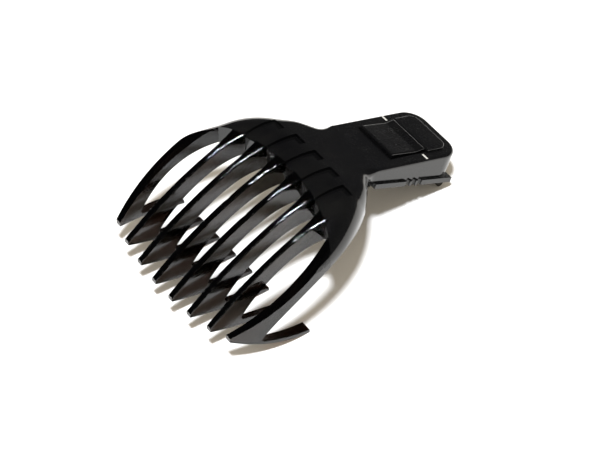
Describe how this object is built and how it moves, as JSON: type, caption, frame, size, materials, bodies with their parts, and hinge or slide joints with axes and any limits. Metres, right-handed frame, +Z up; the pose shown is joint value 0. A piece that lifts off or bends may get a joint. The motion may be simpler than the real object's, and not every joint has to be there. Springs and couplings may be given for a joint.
{
  "type": "hair clipper guide comb",
  "caption": "Curved guide comb with parallel V-shaped teeth under a domed shoulder and a sloping slide-on tail with a sprung release rocker.",
  "frame": {"origin": "bottom centre of the bounding box, on the table the comb rests on", "axes": "+X from the tooth tips to the tail's end, +Y across the comb, +Z up"},
  "size_m": [0.073, 0.0484, 0.0219],
  "materials": {
    "smoked_plastic": "polished smoked brown-black moulding, slightly see-through where it is thin",
    "black_plastic": "satin to semi-gloss black moulding",
    "spring_steel": "drawn and stamped steel",
    "white_ink": "flat white fill"
  },
  "bodies": {
    "comb": {"tooth_1": "smoked_plastic", "tooth_2": "smoked_plastic", "tooth_3": "smoked_plastic", "tooth_4": "smoked_plastic", "tooth_5": "smoked_plastic", "tooth_6": "smoked_plastic", "tooth_7": "smoked_plastic", "tooth_8": "smoked_plastic", "shoulder_shell": "black_plastic", "root_bar": "black_plastic", "tail_shell": "black_plastic", "pivot_pin": "spring_steel", "index_mark_left": "white_ink", "index_mark_right": "white_ink", "slide_base": "black_plastic", "leaf_spring": "spring_steel"},
    "rocker": {"release_rocker": "black_plastic"}
  },
  "joints": [
    {"name": "rocker_press", "type": "hinge", "parent": "comb", "child": "rocker", "pos_m": [0.02211, 0, 0.0114], "axis": [0, -1, 0], "range_deg": [0, 7.5], "stiffness_Nm_per_rad": 0.12, "springref_deg": -4.58}
  ]
}
